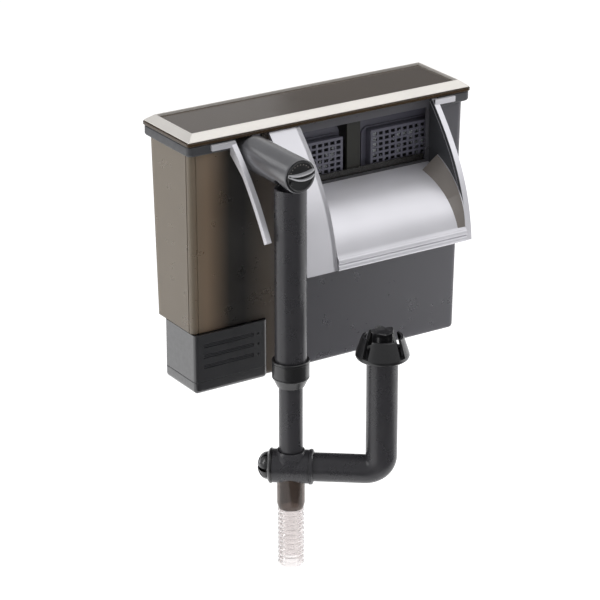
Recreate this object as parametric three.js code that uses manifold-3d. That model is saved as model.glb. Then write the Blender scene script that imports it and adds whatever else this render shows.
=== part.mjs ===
// A hang-on-back aquarium filter. A box hangs outside the tank's glass; the intake pipes and the surface
// skimmer stand inside the tank, and a spillway pours the cleaned water back over the glass.
// Millimetres. +Z is up, +X is to the right as seen from inside the tank, +Y points away from the tank.
// The origin is the middle of the seat that rests on the top edge of the glass.
import * as THREE from "three";
import { mergeVertices } from "three/addons/utils/BufferGeometryUtils.js";
import Module from "manifold-3d";

const wasm = await Module();
wasm.setup();

// ---------------------------------------------------------------- driving dimensions
const GAP = 0.3; // between pieces that touch
const WALL = 2.2; // moulded wall of the box
const ROUND = 28; // sides of a large round piece
const SMALL_ROUND = 20;

const LID = { width: 240, depth: 63, y: 34, z: 60, bevel: 6, rise: 4.9 };
const RIM = { low: 47.5, high: 56.8, out: 0.5, chamfer: 1.8, corner: 4 };
const BOX = {
  top: { half: 117.5, front: 6.4, back: 62.9, z: 56 },
  bottom: { half: 115, front: 9, back: 58, z: -132.65 },
  corner: 4,
  stepX: -54, // the deep media chamber lies to the right of this step
  wellFloor: -86.7, // underside of the shallow left part, above the pump
};
const WINDOW = { left: -27.5, right: 85, low: 8.3, high: 49.4 };
const SEAT = { front: -6.3, back: 5.9 }; // the flat underside that stands on the glass
const CHUTE = { left: -27.8, right: 86.2, thick: 2.6, lipLow: -38 };
const FIN = { left: 86.5, right: 91 };
const SHIELD = { left: -54, right: -28.2 };
const ARM = { left: -87, right: -83 };

const PIPE_X = -68.5; // both vertical pipes and the impeller stand at this x
const OUTER_PIPE_Y = -48; // the pipe inside the tank
const INNER_PIPE_Y = 28; // the pipe down to the impeller
const INTAKE_Z = 45.2; // axis of the horizontal intake barrel
const BARREL = { radius: 12.5, bore: 10.7, face: -60.6, shoulder: 1.2 };
const UPPER_TUBE = { radius: 11.4, bore: 9.6, top: 33.4, bottom: -106 };
const LOWER_TUBE = { radius: 8.6, bore: 7.2, top: -60, bottom: -173.4 };
const COLLAR = { radius: 13.5, top: -95.6, taper: -109, bottom: -115.7 };
const SKIMMER = { z: -179.4, turn: -37.5, reach: 65 }; // the tee's axis, its turn about Z and the riser's distance
const TEE = { radius: 12.3, bore: 10.85, half: 13.2, ring: 12.9, knob: 9.9 };
const RISER = { radius: 10.8, bore: 9.2, top: -94.4, start: 9.3 };
const HOSE = { ridge: 9.5, groove: 8.4, bore: 7.1, pitch: 3.8, rings: 12, top: -211.7 };

const PUMP = { left: -115.6, right: -54.4, front: 5.2, back: 48.5, top: -87, bottom: -132.65, split: -123.6 };
const CAN = { radius: 9.8, bore: 8.6, flange: 14, top: -81.4, floor: -120.4, bottom: -122 };
const CARTRIDGE = { width: 63, front: 12, back: 29, low: -126, high: 47, corner: 8, wall: 1.6 };
const CARTRIDGE_LEFT_EDGES = { left: -47.5, right: 32 };
const GUIDE = { left: 18, right: 29.4, web: [22.4, 25], front: 11.5, back: 33, low: -129, high: 48.6 };

// ---------------------------------------------------------------- materials
const plastic = (color, roughness, extra = {}) =>
  new THREE.MeshStandardMaterial({ color, roughness, metalness: 0, ...extra });
const smoke = plastic(0x6b6157, 0.2, { transparent: true, opacity: 0.7 });
const smokeDark = plastic(0x3f3b38, 0.25, { transparent: true, opacity: 0.85 });
const rimGrey = plastic(0x55565a, 0.4);
const tubeSmoke = plastic(0x4a494b, 0.3);
const black = plastic(0x242425, 0.4);
const pumpGrey = plastic(0x3c3c40, 0.45);
const silver = new THREE.MeshStandardMaterial({ color: 0xd4d3d6, roughness: 0.25, metalness: 0.8 });
const trimSilver = new THREE.MeshStandardMaterial({ color: 0xf2efec, roughness: 0.3, metalness: 0.6 });
const cartridgeGrey = plastic(0x9b99a6, 0.5);
const floss = plastic(0xdfe2e4, 0.95);
const foam = plastic(0x2b2b2e, 0.98);
const clear = plastic(0xcfc6c4, 0.15, { transparent: true, opacity: 0.45 });
const rubber = plastic(0x1c1c1c, 0.8);
const ceramic = plastic(0xece8e0, 0.3);
const ferrite = plastic(0x2e2d2c, 0.6);
const steel = new THREE.MeshStandardMaterial({ color: 0x8d9095, roughness: 0.4, metalness: 0.9 });
const copper = new THREE.MeshStandardMaterial({ color: 0xa6643a, roughness: 0.4, metalness: 0.9 });

// ---------------------------------------------------------------- making solids
// A closed solid from a geometry, whichever way its faces wind.
function solid(geometry) {
  const bare = new THREE.BufferGeometry();
  bare.setAttribute("position", geometry.getAttribute("position"));
  if (geometry.index) bare.setIndex(geometry.index);
  const merged = mergeVertices(bare, 1e-3);
  const corners = Array.from(merged.index.array);
  const triangles = corners
    .filter((_, i) => i % 3 === 0)
    .map((_, i) => corners.slice(3 * i, 3 * i + 3))
    .filter(([a, b, c]) => a !== b && b !== c && c !== a);
  const make = (list) =>
    new wasm.Manifold(
      new wasm.Mesh({
        numProp: 3,
        vertProperties: merged.getAttribute("position").array,
        triVerts: new Uint32Array(list.flat()),
      }),
    );
  const made = make(triangles);
  return made.volume() < 0 ? make(triangles.map(([a, b, c]) => [a, c, b])) : made;
}

const join = (...solids) => solids.reduce((whole, next) => whole.add(next));
const cut = (whole, ...tools) => tools.reduce((rest, tool) => rest.subtract(tool), whole);

function box(x0, x1, y0, y1, z0, z1) {
  const block = new THREE.BoxGeometry(x1 - x0, y1 - y0, z1 - z0);
  return solid(block.translate((x0 + x1) / 2, (y0 + y1) / 2, (z0 + z1) / 2));
}

// A turned piece: [radius, height] points, with the heights along the axis named, through the point at.
function turned(profile, along = "z", at = [0, 0, 0], sides = ROUND) {
  const piece = new THREE.LatheGeometry(profile.map(([r, h]) => new THREE.Vector2(r, h)), sides);
  if (along === "z") piece.rotateX(Math.PI / 2);
  if (along === "x") piece.rotateZ(-Math.PI / 2);
  return solid(piece.translate(...at));
}

const disc = (radius, low, high) => [[0, low], [radius, low], [radius, high], [0, high]];
const ring = (bore, radius, low, high) =>
  [[bore, low], [radius, low], [radius, high], [bore, high], [bore, low]];

// Plates drawn in (y, z) that run from x0 to x1, and drawn in (x, z) that run from y0 to y1.
const shapeOf = (outline) => new THREE.Shape(outline.map(([a, b]) => new THREE.Vector2(a, b)));

function sidePlate(outline, x0, x1) {
  const plate = new THREE.ExtrudeGeometry(shapeOf(outline), { depth: x1 - x0, bevelEnabled: false });
  const [toY, toZ, toX] = [new THREE.Vector3(0, 1, 0), new THREE.Vector3(0, 0, 1), new THREE.Vector3(1, 0, 0)];
  plate.applyMatrix4(new THREE.Matrix4().makeBasis(toY, toZ, toX));
  return solid(plate.translate(x0, 0, 0));
}

function frontPlate(outline, y0, y1) {
  const plate = new THREE.ExtrudeGeometry(shapeOf(outline), { depth: y1 - y0, bevelEnabled: false });
  return solid(plate.rotateX(Math.PI / 2).translate(0, y1, 0));
}

// A solid skinned over a row of convex rings that all have the same number of points.
function loft(rings) {
  const points = [];
  rings.slice(1).forEach((above, i) => {
    const below = rings[i];
    above.forEach((_, j) => {
      const next = (j + 1) % above.length;
      points.push(below[j], below[next], above[next], below[j], above[next], above[j]);
    });
  });
  const [first, last] = [rings[0], rings.at(-1)];
  for (let j = 1; j < first.length - 1; j++) {
    points.push(first[0], first[j + 1], first[j]);
    points.push(last[0], last[j], last[j + 1]);
  }
  return solid(new THREE.BufferGeometry().setFromPoints(points));
}

// A rectangle with rounded corners at height z, as a ring of points.
function roundedRing(x0, x1, y0, y1, radius, z, steps = 3) {
  const corners = [[x1 - radius, y1 - radius], [x0 + radius, y1 - radius]];
  corners.push([x0 + radius, y0 + radius], [x1 - radius, y0 + radius]);
  return corners.flatMap(([x, y], quarter) =>
    Array.from({ length: steps + 1 }, (_, i) => {
      const angle = ((quarter + i / steps) * Math.PI) / 2;
      return new THREE.Vector3(x + radius * Math.cos(angle), y + radius * Math.sin(angle), z);
    }),
  );
}

// Points along a Bezier curve, and the same points moved sideways by a distance.
const bezier = (...p) =>
  new THREE.CubicBezierCurve(...p.map(([a, b]) => new THREE.Vector2(a, b)))
    .getPoints(14)
    .map((v) => [v.x, v.y]);

function offset(points, distance) {
  return points.map(([a, b], i) => {
    const [before, after] = [points[Math.max(i - 1, 0)], points[Math.min(i + 1, points.length - 1)]];
    const run = new THREE.Vector2(after[0] - before[0], after[1] - before[1]).normalize();
    return [a - run.y * distance, b + run.x * distance];
  });
}

// ---------------------------------------------------------------- the object's tree
const filter = new THREE.Group();
const lid = new THREE.Group();
const pipes = new THREE.Group(); // on the axis of the pipe inside the tank
pipes.position.set(PIPE_X, OUTER_PIPE_Y, 0);
const skimmer = new THREE.Group(); // local X runs along the tee from its knob to the riser
skimmer.position.z = SKIMMER.z;
skimmer.rotation.z = THREE.MathUtils.degToRad(SKIMMER.turn);
const pump = new THREE.Group(); // on the impeller's axis
pump.position.set(PIPE_X, INNER_PIPE_Y, 0);
pipes.add(skimmer);
filter.add(lid, pipes, pump);

function place(parent, name, manifold, material) {
  const { vertProperties, triVerts } = manifold.getMesh();
  const geometry = new THREE.BufferGeometry();
  geometry.setAttribute("position", new THREE.BufferAttribute(vertProperties, 3));
  geometry.setIndex(new THREE.BufferAttribute(triVerts, 1));
  const mesh = new THREE.Mesh(geometry.toNonIndexed(), material);
  mesh.geometry.computeVertexNormals();
  mesh.name = name;
  parent.add(mesh);
}

// ---------------------------------------------------------------- lid
function makeLid() {
  const block = (half, depth, radius, z) =>
    roundedRing(-half, half, LID.y - depth, LID.y + depth, radius, z);
  const [half, deep] = [LID.width / 2, LID.depth / 2];
  const [flangeLow, flangeHigh, deck] = [57.3, LID.z - GAP, LID.z + 3.2];
  const lip = 0.6; // flat top edge of the trim
  const open = LID.bevel + lip;

  const flange = loft([block(half + 1, deep + 0.8, 3, flangeLow), block(half + 1, deep + 0.8, 3, flangeHigh)]);
  const inside = open + GAP;
  const window = loft([flangeHigh - 1, deck].map((z) => block(half - inside, deep - inside, 1, z)));
  const hollow = loft([flangeLow - 1, deck - 2].map((z) => block(half - inside - 2, deep - inside - 2, 1, z)));
  place(lid, "lid_window", cut(join(flange, window), hollow), smokeDark);

  const bevel = loft([block(half, deep, 1, LID.z), block(half - LID.bevel, deep - LID.bevel, 1, LID.z + LID.rise)]);
  const opening = loft([LID.z - 1, LID.z + LID.rise + 1].map((z) => block(half - open, deep - open, 1, z)));
  place(lid, "lid_trim", cut(bevel, opening), trimSilver);
}

// ---------------------------------------------------------------- box and rim
// The box's outline at height z, drawn in by inset: it narrows slightly towards the bottom.
function boxOutline(z, inset) {
  const down = (BOX.top.z - z) / (BOX.top.z - BOX.bottom.z);
  const at = (key) => THREE.MathUtils.lerp(BOX.top[key], BOX.bottom[key], down);
  const half = at("half") - inset;
  return roundedRing(-half, half, at("front") + inset, at("back") - inset, Math.max(BOX.corner - inset, 1), z);
}

function makeBox() {
  const shell = loft([boxOutline(BOX.bottom.z, 0), boxOutline(BOX.top.z, 0)]);
  const hollow = loft([boxOutline(BOX.bottom.z + WALL, WALL), boxOutline(BOX.top.z + 1, WALL)]);
  const below = box(-130, BOX.stepX, 0, 70, -140, BOX.wellFloor);
  const kept = box(-130, BOX.stepX + WALL, 0, 70, -140, BOX.wellFloor + WALL);
  const window = box(WINDOW.left, WINDOW.right, 0, 12, WINDOW.low, WINDOW.high);
  const notch = BARREL.radius - 1.7;
  const barrelNotch = join(
    box(PIPE_X - notch, PIPE_X + notch, 0, 12, INTAKE_Z, 60),
    turned(disc(notch, 0, 12), "y", [PIPE_X, 0, INTAKE_Z]),
  );
  const canHole = turned(disc(CAN.radius + 0.4, -90, -80), "z", [PIPE_X, INNER_PIPE_Y, 0]);
  const body = cut(shell, below, cut(hollow, kept), window, barrelNotch, canHole);
  place(filter, "housing_body", body, smoke);

  const [half, deep] = [LID.width / 2 + RIM.out, LID.depth / 2 + RIM.out];
  const band = (inset, z) =>
    roundedRing(-half + inset, half - inset, LID.y - deep + inset, LID.y + deep - inset, RIM.corner, z);
  const rim = loft([band(RIM.chamfer, RIM.low), band(0, RIM.low + RIM.chamfer), band(0, RIM.high)]);
  const bore = loft([RIM.low - 1, RIM.high + 1].map((z) => boxOutline(z, -GAP - 0.05)));
  const frontGap = box(PIPE_X - 13.2, FIN.right + 0.6, 0, 8, RIM.low - 1, RIM.high + 1);
  place(filter, "housing_rim", cut(rim, bore, frontGap), rimGrey);
}

// ---------------------------------------------------------------- spillway and hanging bracket
const SPILL_TOP = bezier([5.9, 7.5], [-18, 6], [-40, -5], [-45.6, -27]);
const SPILL_UNDER = offset(SPILL_TOP, CHUTE.thick).filter(([y]) => y < SEAT.front);
const BRACKET_FRONT = bezier([3, 56.4], [-27, 26], [-43, 2], [-47, -37.5]);
const SIDE_OUTLINE = [
  ...BRACKET_FRONT,
  [-44.6, -38],
  ...SPILL_UNDER.toReversed(),
  [SEAT.front, SPILL_UNDER[0][1]],
  [SEAT.front, 0.2],
  [SEAT.back, 0.2],
  [SEAT.back, 56.4],
];

function makeSpillway() {
  const lip = [[-48.4, -29], [-48.4, CHUTE.lipLow], [-46.4, CHUTE.lipLow], [-46.4, -31]];
  const foot = [[SEAT.front, SPILL_UNDER[0][1]], [SEAT.front, 0], [SEAT.back, 0]];
  const chute = sidePlate([...SPILL_TOP, ...lip, ...SPILL_UNDER.toReversed(), ...foot], CHUTE.left, CHUTE.right);
  place(filter, "spillway_chute", join(chute, makeCurb()), silver);

  const strap = sidePlate([...BRACKET_FRONT, ...offset(BRACKET_FRONT, 2.5).toReversed()], SHIELD.left, SHIELD.right);
  const border = sidePlate(SIDE_OUTLINE, SHIELD.right - 2.6, SHIELD.right);
  place(filter, "intake_shield", join(strap, border), silver);

  const tab = box(FIN.left, 105, -0.8, 1.7, 52.3, 56.4);
  place(filter, "side_fin", join(sidePlate(SIDE_OUTLINE, FIN.left, FIN.right), tab), silver);
}

// The slanted kerb that keeps the water off the fin, from the chute's surface up to the fin's inner face.
function makeCurb() {
  const [width, height, first] = [8.2, 14, 3];
  const sunken = offset(SPILL_TOP, 1);
  const last = SPILL_TOP.length - 1;
  return loft(
    SPILL_TOP.slice(first).map(([y, z], i) => {
      const at = i + first;
      const [topY, topZ] = offset(SPILL_TOP, -Math.max(height * (1 - (1.8 * at) / last), 0.4))[at];
      const sunk = sunken[at];
      return [
        new THREE.Vector3(CHUTE.right - width, y, z),
        new THREE.Vector3(CHUTE.right - 0.8, topY, topZ),
        new THREE.Vector3(CHUTE.right, topY, topZ),
        new THREE.Vector3(CHUTE.right, sunk[0], sunk[1]),
        new THREE.Vector3(CHUTE.right - width, sunk[0], sunk[1]),
      ];
    }),
  );
}

function makeHooks() {
  const front = new THREE.QuadraticBezierCurve(
    new THREE.Vector2(1.4, 56.4),
    new THREE.Vector2(-25, 33),
    new THREE.Vector2(-46.5, -5),
  )
    .getPoints(10)
    .map((v) => [v.x, v.y]);
  const behind = offset(front, 4).filter(([y]) => y < -14);
  const arm = sidePlate([...front, ...behind.toReversed(), [1.6, 46.5]], ARM.left, ARM.right);
  place(filter, "left_hook_arm", join(arm, box(-102.7, ARM.right, -0.8, 1.7, 52.3, 56.4)), silver);

  const inner = SEAT.front - GAP;
  const top = offset(SPILL_TOP, CHUTE.thick + 0.4).filter(([y]) => y < inner && y > -36);
  const rib = [[inner, -36], [inner, top[0][1]], ...top, [-32, -27], [-11, -36]];
  place(filter, "rim_hook_left", sidePlate(rib, -14, -10), black);
  place(filter, "rim_hook_right", sidePlate(rib, 66, 70), black);
}

// ---------------------------------------------------------------- media chamber
function makeCartridge(side) {
  const x0 = CARTRIDGE_LEFT_EDGES[side];
  const { width, front, back, low, high, wall } = CARTRIDGE;
  const outline = (inset) => {
    const shape = new THREE.Path();
    const [left, right, corner] = [x0 + inset, x0 + width - inset, CARTRIDGE.corner - inset];
    shape.moveTo(left, low + inset).lineTo(right, low + inset);
    shape.lineTo(right, high - inset - corner).absarc(right - corner, high - inset - corner, corner, 0, Math.PI / 2);
    shape.lineTo(left + corner, high - inset);
    shape.absarc(left + corner, high - inset - corner, corner, Math.PI / 2, Math.PI);
    return shape.getPoints(4).map((v) => [v.x, v.y]);
  };
  const tray = cut(frontPlate(outline(0), front, back), frontPlate(outline(wall), front + wall, back + 1));
  const [columns, rows] = [5, 3];
  const pitch = { x: (width - 6) / columns, z: (high - 8 - low - 6) / rows };
  const openings = [];
  for (let column = 0; column < columns; column++)
    for (let row = 0; row < rows; row++) {
      const [x, z] = [x0 + 3 + column * pitch.x, low + 6 + row * pitch.z];
      openings.push(box(x + 1, x + pitch.x - 1, front - 1, front + wall + 0.5, z + 1.5, z + pitch.z - 1.5));
    }
  const middle = x0 + width / 2;
  const handle = box(middle - 8, middle + 8, 18, 20, high - 1, high + 4.5);
  place(filter, `cartridge_frame_${side}`, join(cut(tray, ...openings), handle), cartridgeGrey);

  const inside = wall + 0.4;
  const pad = box(x0 + inside, x0 + width - inside, front + inside, back - 0.5, low + inside, high - 9);
  place(filter, `floss_pad_${side}`, pad, floss);
}

function makeChambers() {
  makeCartridge("left");
  makeCartridge("right");
  place(filter, "bio_sponge", box(-46, 111, 35, 53, -127, 15), foam);

  const { left, right, web, front, back, low, high } = GUIDE;
  const guide = join(box(...web, front + 1.5, back, low, high), box(left, right, front, front + 1.8, low, high));
  place(filter, "centre_guide", guide, black);
  const passage = box(-52, -46, 20, 45, -122, -100);
  place(filter, "chamber_wall", cut(box(-50.8, -49, 11.5, 54.5, -129, 42), passage), smokeDark);
  place(filter, "weir_strip", box(-27, 84.5, 9.8, 11.2, 0, 13), clear);
}

// ---------------------------------------------------------------- intake inside and outside the box
function makeIntakeHead() {
  const axis = [PIPE_X, 0, INTAKE_Z];
  const { radius, bore, face, shoulder } = BARREL;
  const barrel = turned([[0, face], [radius, face], [radius, shoulder], [10, shoulder], [10, 41], [0, 41]], "y", axis);
  const boss = turned(disc(11, 30, INTAKE_Z), "z", [PIPE_X, INNER_PIPE_Y, 0]);
  const mouth = [[0, face - 1], [11.6, face - 1], [11.6, face + 4], [bore, face + 4]];
  const waterway = turned([...mouth, [bore, -34], [8.2, -34], [8.2, 39], [0, 39]], "y", axis);
  const tubeHole = turned(disc(UPPER_TUBE.radius + GAP, 20, INTAKE_Z), "z", [PIPE_X, OUTER_PIPE_Y, 0]);
  const pipeHole = turned(disc(9.3, 20, INTAKE_Z), "z", [PIPE_X, INNER_PIPE_Y, 0]);
  place(filter, "intake_head", cut(join(barrel, boss), waterway, tubeHole, pipeHole), tubeSmoke);
  place(pump, "inner_downpipe", turned(ring(7.5, 9, -62, 37)), tubeSmoke);

  const sleeve = turned(ring(8.6, 10.3, face + 4, -36), "y", axis);
  const port = box(PIPE_X - 9, PIPE_X + 9, OUTER_PIPE_Y - 9, OUTER_PIPE_Y + 9, 30, 42);
  place(filter, "flow_valve", cut(sleeve, port), black);

  const front = face - 0.6;
  const dial = [[0, face + 6.5], [8.3, face + 6.5], [8.3, face + 3.7], [11.3, face + 3.7], [11.3, front + 0.8]];
  dial.push([10.6, front], [0, front]);
  const grip = box(PIPE_X - 10, PIPE_X + 10, front - 3.6, front + 0.5, INTAKE_Z - 2.2, INTAKE_Z + 2.2);
  const pointer = turned(disc(1.2, front - 1, front + 0.5), "y", [PIPE_X - 7.6, 0, INTAKE_Z - 4.6], 8);
  place(filter, "flow_knob", join(turned(dial, "y", axis), grip, pointer), black);
}

function makeTelescope() {
  const { radius, bore, top, bottom } = UPPER_TUBE;
  place(pipes, "upper_tube", turned(ring(bore, radius, bottom, top)), tubeSmoke);

  const [wide, tight] = [radius + GAP, LOWER_TUBE.radius + 0.4];
  const step = bottom - 1.8;
  const collar = [[tight, COLLAR.bottom], [tight + 1.1, COLLAR.bottom], [COLLAR.radius, COLLAR.taper]];
  collar.push([COLLAR.radius, COLLAR.top], [wide, COLLAR.top], [wide, step], [tight, step], [tight, COLLAR.bottom]);
  place(pipes, "tube_collar", turned(collar), black);
  place(pipes, "telescope_seal", turned(ring(tight, radius, step + GAP, bottom - GAP)), rubber);
  place(pipes, "lower_tube", turned(ring(LOWER_TUBE.bore, LOWER_TUBE.radius, LOWER_TUBE.bottom, LOWER_TUBE.top)), tubeSmoke);
}

// ---------------------------------------------------------------- skimmer tee, arm and head
function makeTee() {
  const { radius, bore, half, ring: rim, knob } = TEE;
  const stem = 9; // radius of the knob's stem
  const barrel = turned(disc(radius, -half, half), "x");
  const saddle = turned([[0, 0], [12, 0], [10.4, radius + 1], [0, radius + 1]]);
  const socketLow = HOSE.top + GAP - SKIMMER.z;
  const socket = turned([[0, socketLow], [9.4, socketLow], [10.2, socketLow + 4], [10.2, 0], [0, 0]]);
  const through = turned(disc(bore, -half - 1, half + 1), "x");
  const tubeHole = turned(disc(LOWER_TUBE.radius + GAP, 0, 20));
  const hoseHole = turned(disc(8.1, socketLow - 1, 0));
  place(skimmer, "skimmer_tee", cut(join(barrel, saddle, socket), through, tubeHole, hoseHole), tubeSmoke);

  const right = [[bore, half + GAP], [rim, half + GAP], [rim, half + 2.4], [rim - 1.3, half + 3.2]];
  right.push([bore, half + 3.2], right[0]);
  place(skimmer, "tee_end_ring", turned(right, "x"), tubeSmoke);
  const left = [[stem + GAP, -half - 3.6], [10, -half - 3.6], [rim, -half - 1.6], [rim, -half - GAP]];
  left.push([stem + GAP, -half - GAP], left[0]);
  place(skimmer, "tee_cap_ring", turned(left, "x"), black);

  const domeFoot = -half - 3.9;
  const dome = Array.from({ length: 6 }, (_, i) => {
    const angle = (i * Math.PI) / 10;
    return [knob * Math.cos(angle), domeFoot - 6.4 * Math.sin(angle)];
  });
  const profile = [[0, -half + 1.5], [stem, -half + 1.5], [stem, domeFoot], ...dome];
  const grip = box(-half - 11.2, domeFoot - 0.5, -7.2, 7.2, -1.2, 1.2);
  place(skimmer, "tee_knob", join(turned(profile, "x", [0, 0, 0], SMALL_ROUND), grip), black);
  const valve = turned(ring(stem + GAP, bore - 0.4, -half + 0.4, -9), "x");
  const ports = box(-20, 0, -20, 20, -20, 0);
  place(skimmer, "tee_valve", cut(valve, ports), black);
}

function makeHose() {
  const outside = Array.from({ length: 2 * HOSE.rings + 1 }, (_, i) => [
    i % 2 ? HOSE.ridge : HOSE.groove,
    HOSE.top - (i * HOSE.pitch) / 2,
  ]);
  const spigot = [[7.8, HOSE.top + 10], [7.8, HOSE.top]];
  const bottom = HOSE.top - HOSE.rings * HOSE.pitch;
  const profile = [...spigot, ...outside, [HOSE.bore, bottom], [HOSE.bore, HOSE.top + 10], spigot[0]];
  place(pipes, "corrugated_hose", turned(profile, "z", [0, 0, 0], SMALL_ROUND), clear);
}

// A pipe that runs along local X, bends upwards with a sharp inner corner, and rises at x = reach.
function bentPipe(radius, start, top) {
  const bend = RISER.radius + 0.3;
  const stations = [{ x: start, z: 0, lean: 0 }];
  for (let i = 0; i <= 8; i++) {
    const lean = (i * Math.PI) / 16;
    const [x, z] = [SKIMMER.reach - bend + bend * Math.sin(lean), bend - bend * Math.cos(lean)];
    stations.push({ x, z, lean });
  }
  stations.push({ x: SKIMMER.reach, z: top, lean: Math.PI / 2 });
  return loft(
    stations.map(({ x, z, lean }) =>
      Array.from({ length: ROUND }, (_, i) => {
        const angle = (2 * Math.PI * i) / ROUND;
        const [across, up] = [radius * Math.cos(angle), radius * Math.sin(angle)];
        return new THREE.Vector3(x - up * Math.sin(lean), across, z + up * Math.cos(lean));
      }),
    ),
  );
}

function makeSkimmer() {
  const riserTop = RISER.top - SKIMMER.z;
  const outside = bentPipe(RISER.radius - GAP, RISER.start, riserTop);
  const elbow = cut(outside, bentPipe(RISER.bore, RISER.start - 1, riserTop + 1));
  place(skimmer, "skimmer_elbow", elbow, tubeSmoke);

  const head = new THREE.Group(); // on the riser's axis, heights as in the filter's own frame
  head.position.set(SKIMMER.reach, 0, -SKIMMER.z);
  skimmer.add(head);
  const cup = [[8.2, -94.1], [12, -94.1], [18.6, -91.6], [19.3, -90], [19, -88], [15, -75.7], [12.6, -75.7]];
  cup.push([16.2, -88.5], [15, -90.2], [8.2, -90.2], [8.2, -94.1]);
  const slot = (turn) => {
    const notch = new THREE.BoxGeometry(14, 5, 14).translate(16, 0, -81.2);
    return solid(notch.rotateZ((turn * Math.PI) / 3));
  };
  const slots = Array.from({ length: 6 }, (_, i) => slot(i + 0.25));
  place(head, "skimmer_head", cut(turned(cup), ...slots), black);
  place(head, "skimmer_sleeve", turned(ring(6.7, 7.9, -154, -90.5)), tubeSmoke);

  const cap = turned([[0, -84], [7.4, -84], [7.4, -73.2], [9, -70.6], [7, -71.6], [0, -71.6]], "z", [0, 0, 0], 12);
  const legs = join(box(-6.3, 6.3, -0.9, 0.9, -99, -83.5), box(-0.9, 0.9, -6.3, 6.3, -99, -83.5));
  place(head, "skimmer_plug", join(cap, legs), black);
}

// ---------------------------------------------------------------- pump
const pumpOutline = (inset, z, corner = 3) =>
  roundedRing(PUMP.left + inset, PUMP.right - inset, PUMP.front + inset, PUMP.back - inset, corner, z);

function makePumpCase() {
  const [high, low] = [PUMP.top, PUMP.split + GAP];
  const shell = loft([pumpOutline(0, low), pumpOutline(0, high)]);
  const hollow = loft([pumpOutline(2, low - 1), pumpOutline(2, high + 1)]);
  const louvres = [0, 1, 2].map((row) =>
    box(PUMP.left + 7, PUMP.right - 12, PUMP.front - 1, PUMP.front + 0.9, -97.5 - 8 * row, -94.5 - 8 * row),
  );
  const glandHole = turned(disc(5.3, 40, 60), "y", [-86, 0, -112], SMALL_ROUND);
  place(filter, "pump_housing", cut(shell, hollow, ...louvres, glandHole), pumpGrey);

  const tray = loft([pumpOutline(1.5, PUMP.bottom), pumpOutline(0, PUMP.bottom + 1.5), pumpOutline(0, PUMP.split)]);
  const well = loft([pumpOutline(2, PUMP.bottom + 2), pumpOutline(2, PUMP.split + 1)]);
  place(filter, "pump_base_cover", cut(tray, well), pumpGrey);

  const gland = [[3, 44], [5, 44], [5, 48.8], [7, 48.8], [7, 50.4], [4.6, 56], [3, 56], [3, 44]];
  place(filter, "cable_gland", turned(gland, "y", [-86, 0, -112], SMALL_ROUND), rubber);
}

function makeMotor() {
  const legs = join(box(-105, -97, 12, 44, -116, -92), box(-105, -60, 12, 20, -116, -92), box(-105, -60, 36, 44, -116, -92));
  const poleBore = turned(disc(CAN.radius + 0.5, -130, -80), "z", [PIPE_X, INNER_PIPE_Y, 0]);
  place(filter, "stator_core", cut(legs, poleBore), steel);
  place(filter, "stator_coil", cut(box(-111, -91, 20.5, 35.5, -121, -88), box(-105.5, -96.5, 0, 60, -116.5, -91.5)), copper);

  const { radius, bore, flange, top, floor, bottom } = CAN;
  const can = [[0, bottom], [radius, bottom], [radius, top - 1.5], [flange, top - 1.5], [flange, top], [bore, top]];
  can.push([bore, floor], [0, floor]);
  place(pump, "rotor_can", turned(can), pumpGrey);
  place(pump, "can_seal", turned(ring(radius + 0.6, 13.5, top - 2.8, top - 1.8)), rubber);
  place(pump, "lower_bushing", turned(ring(1.8, 4, floor + GAP, -116.8), "z", [0, 0, 0], SMALL_ROUND), rubber);
  place(pump, "upper_bushing", turned(ring(1.8, 3.5, -71.6, -68.3), "z", [0, 0, 0], SMALL_ROUND), rubber);
  place(pump, "impeller_shaft", turned(disc(1.5, -119.8, -69), "z", [0, 0, 0], 12), ceramic);
  place(pump, "rotor_magnet", turned(ring(2.1, 7.8, -116, -88.4), "z", [0, 0, 0], SMALL_ROUND), ferrite);

  const hub = turned(ring(2.1, 4, -88.1, -73), "z", [0, 0, 0], SMALL_ROUND);
  const plate = turned(ring(2.1, 11, -80.6, -79.2), "z", [0, 0, 0], SMALL_ROUND);
  const vanes = Array.from({ length: 6 }, (_, i) => {
    const vane = new THREE.BoxGeometry(7.6, 1.2, 6.6).translate(7, 0, -76.2);
    return solid(vane.rotateZ((i * Math.PI) / 3));
  });
  place(pump, "impeller", join(hub, plate, ...vanes), black);

  const cover = turned([[12.5, -81.1], [15, -81.1], [15, -66], [11.2, -66], [11.2, -56], [9.3, -56], [9.3, -65], [7, -65],
    [7, -68], [12.5, -68], [12.5, -81.1]]);
  const spider = box(-8, 8, -1.4, 1.4, -68, -66);
  const outlet = box(5, 20, -4, 4, -79.5, -70);
  place(pump, "impeller_cover", cut(join(cover, spider), outlet), tubeSmoke);
}

makeLid();
makeBox();
makeSpillway();
makeHooks();
makeChambers();
makeIntakeHead();
makeTelescope();
makeTee();
makeHose();
makeSkimmer();
makePumpCase();
makeMotor();

export default filter;
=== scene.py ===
import math

import bmesh
import bpy
from mathutils import Matrix, Vector, noise


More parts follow.
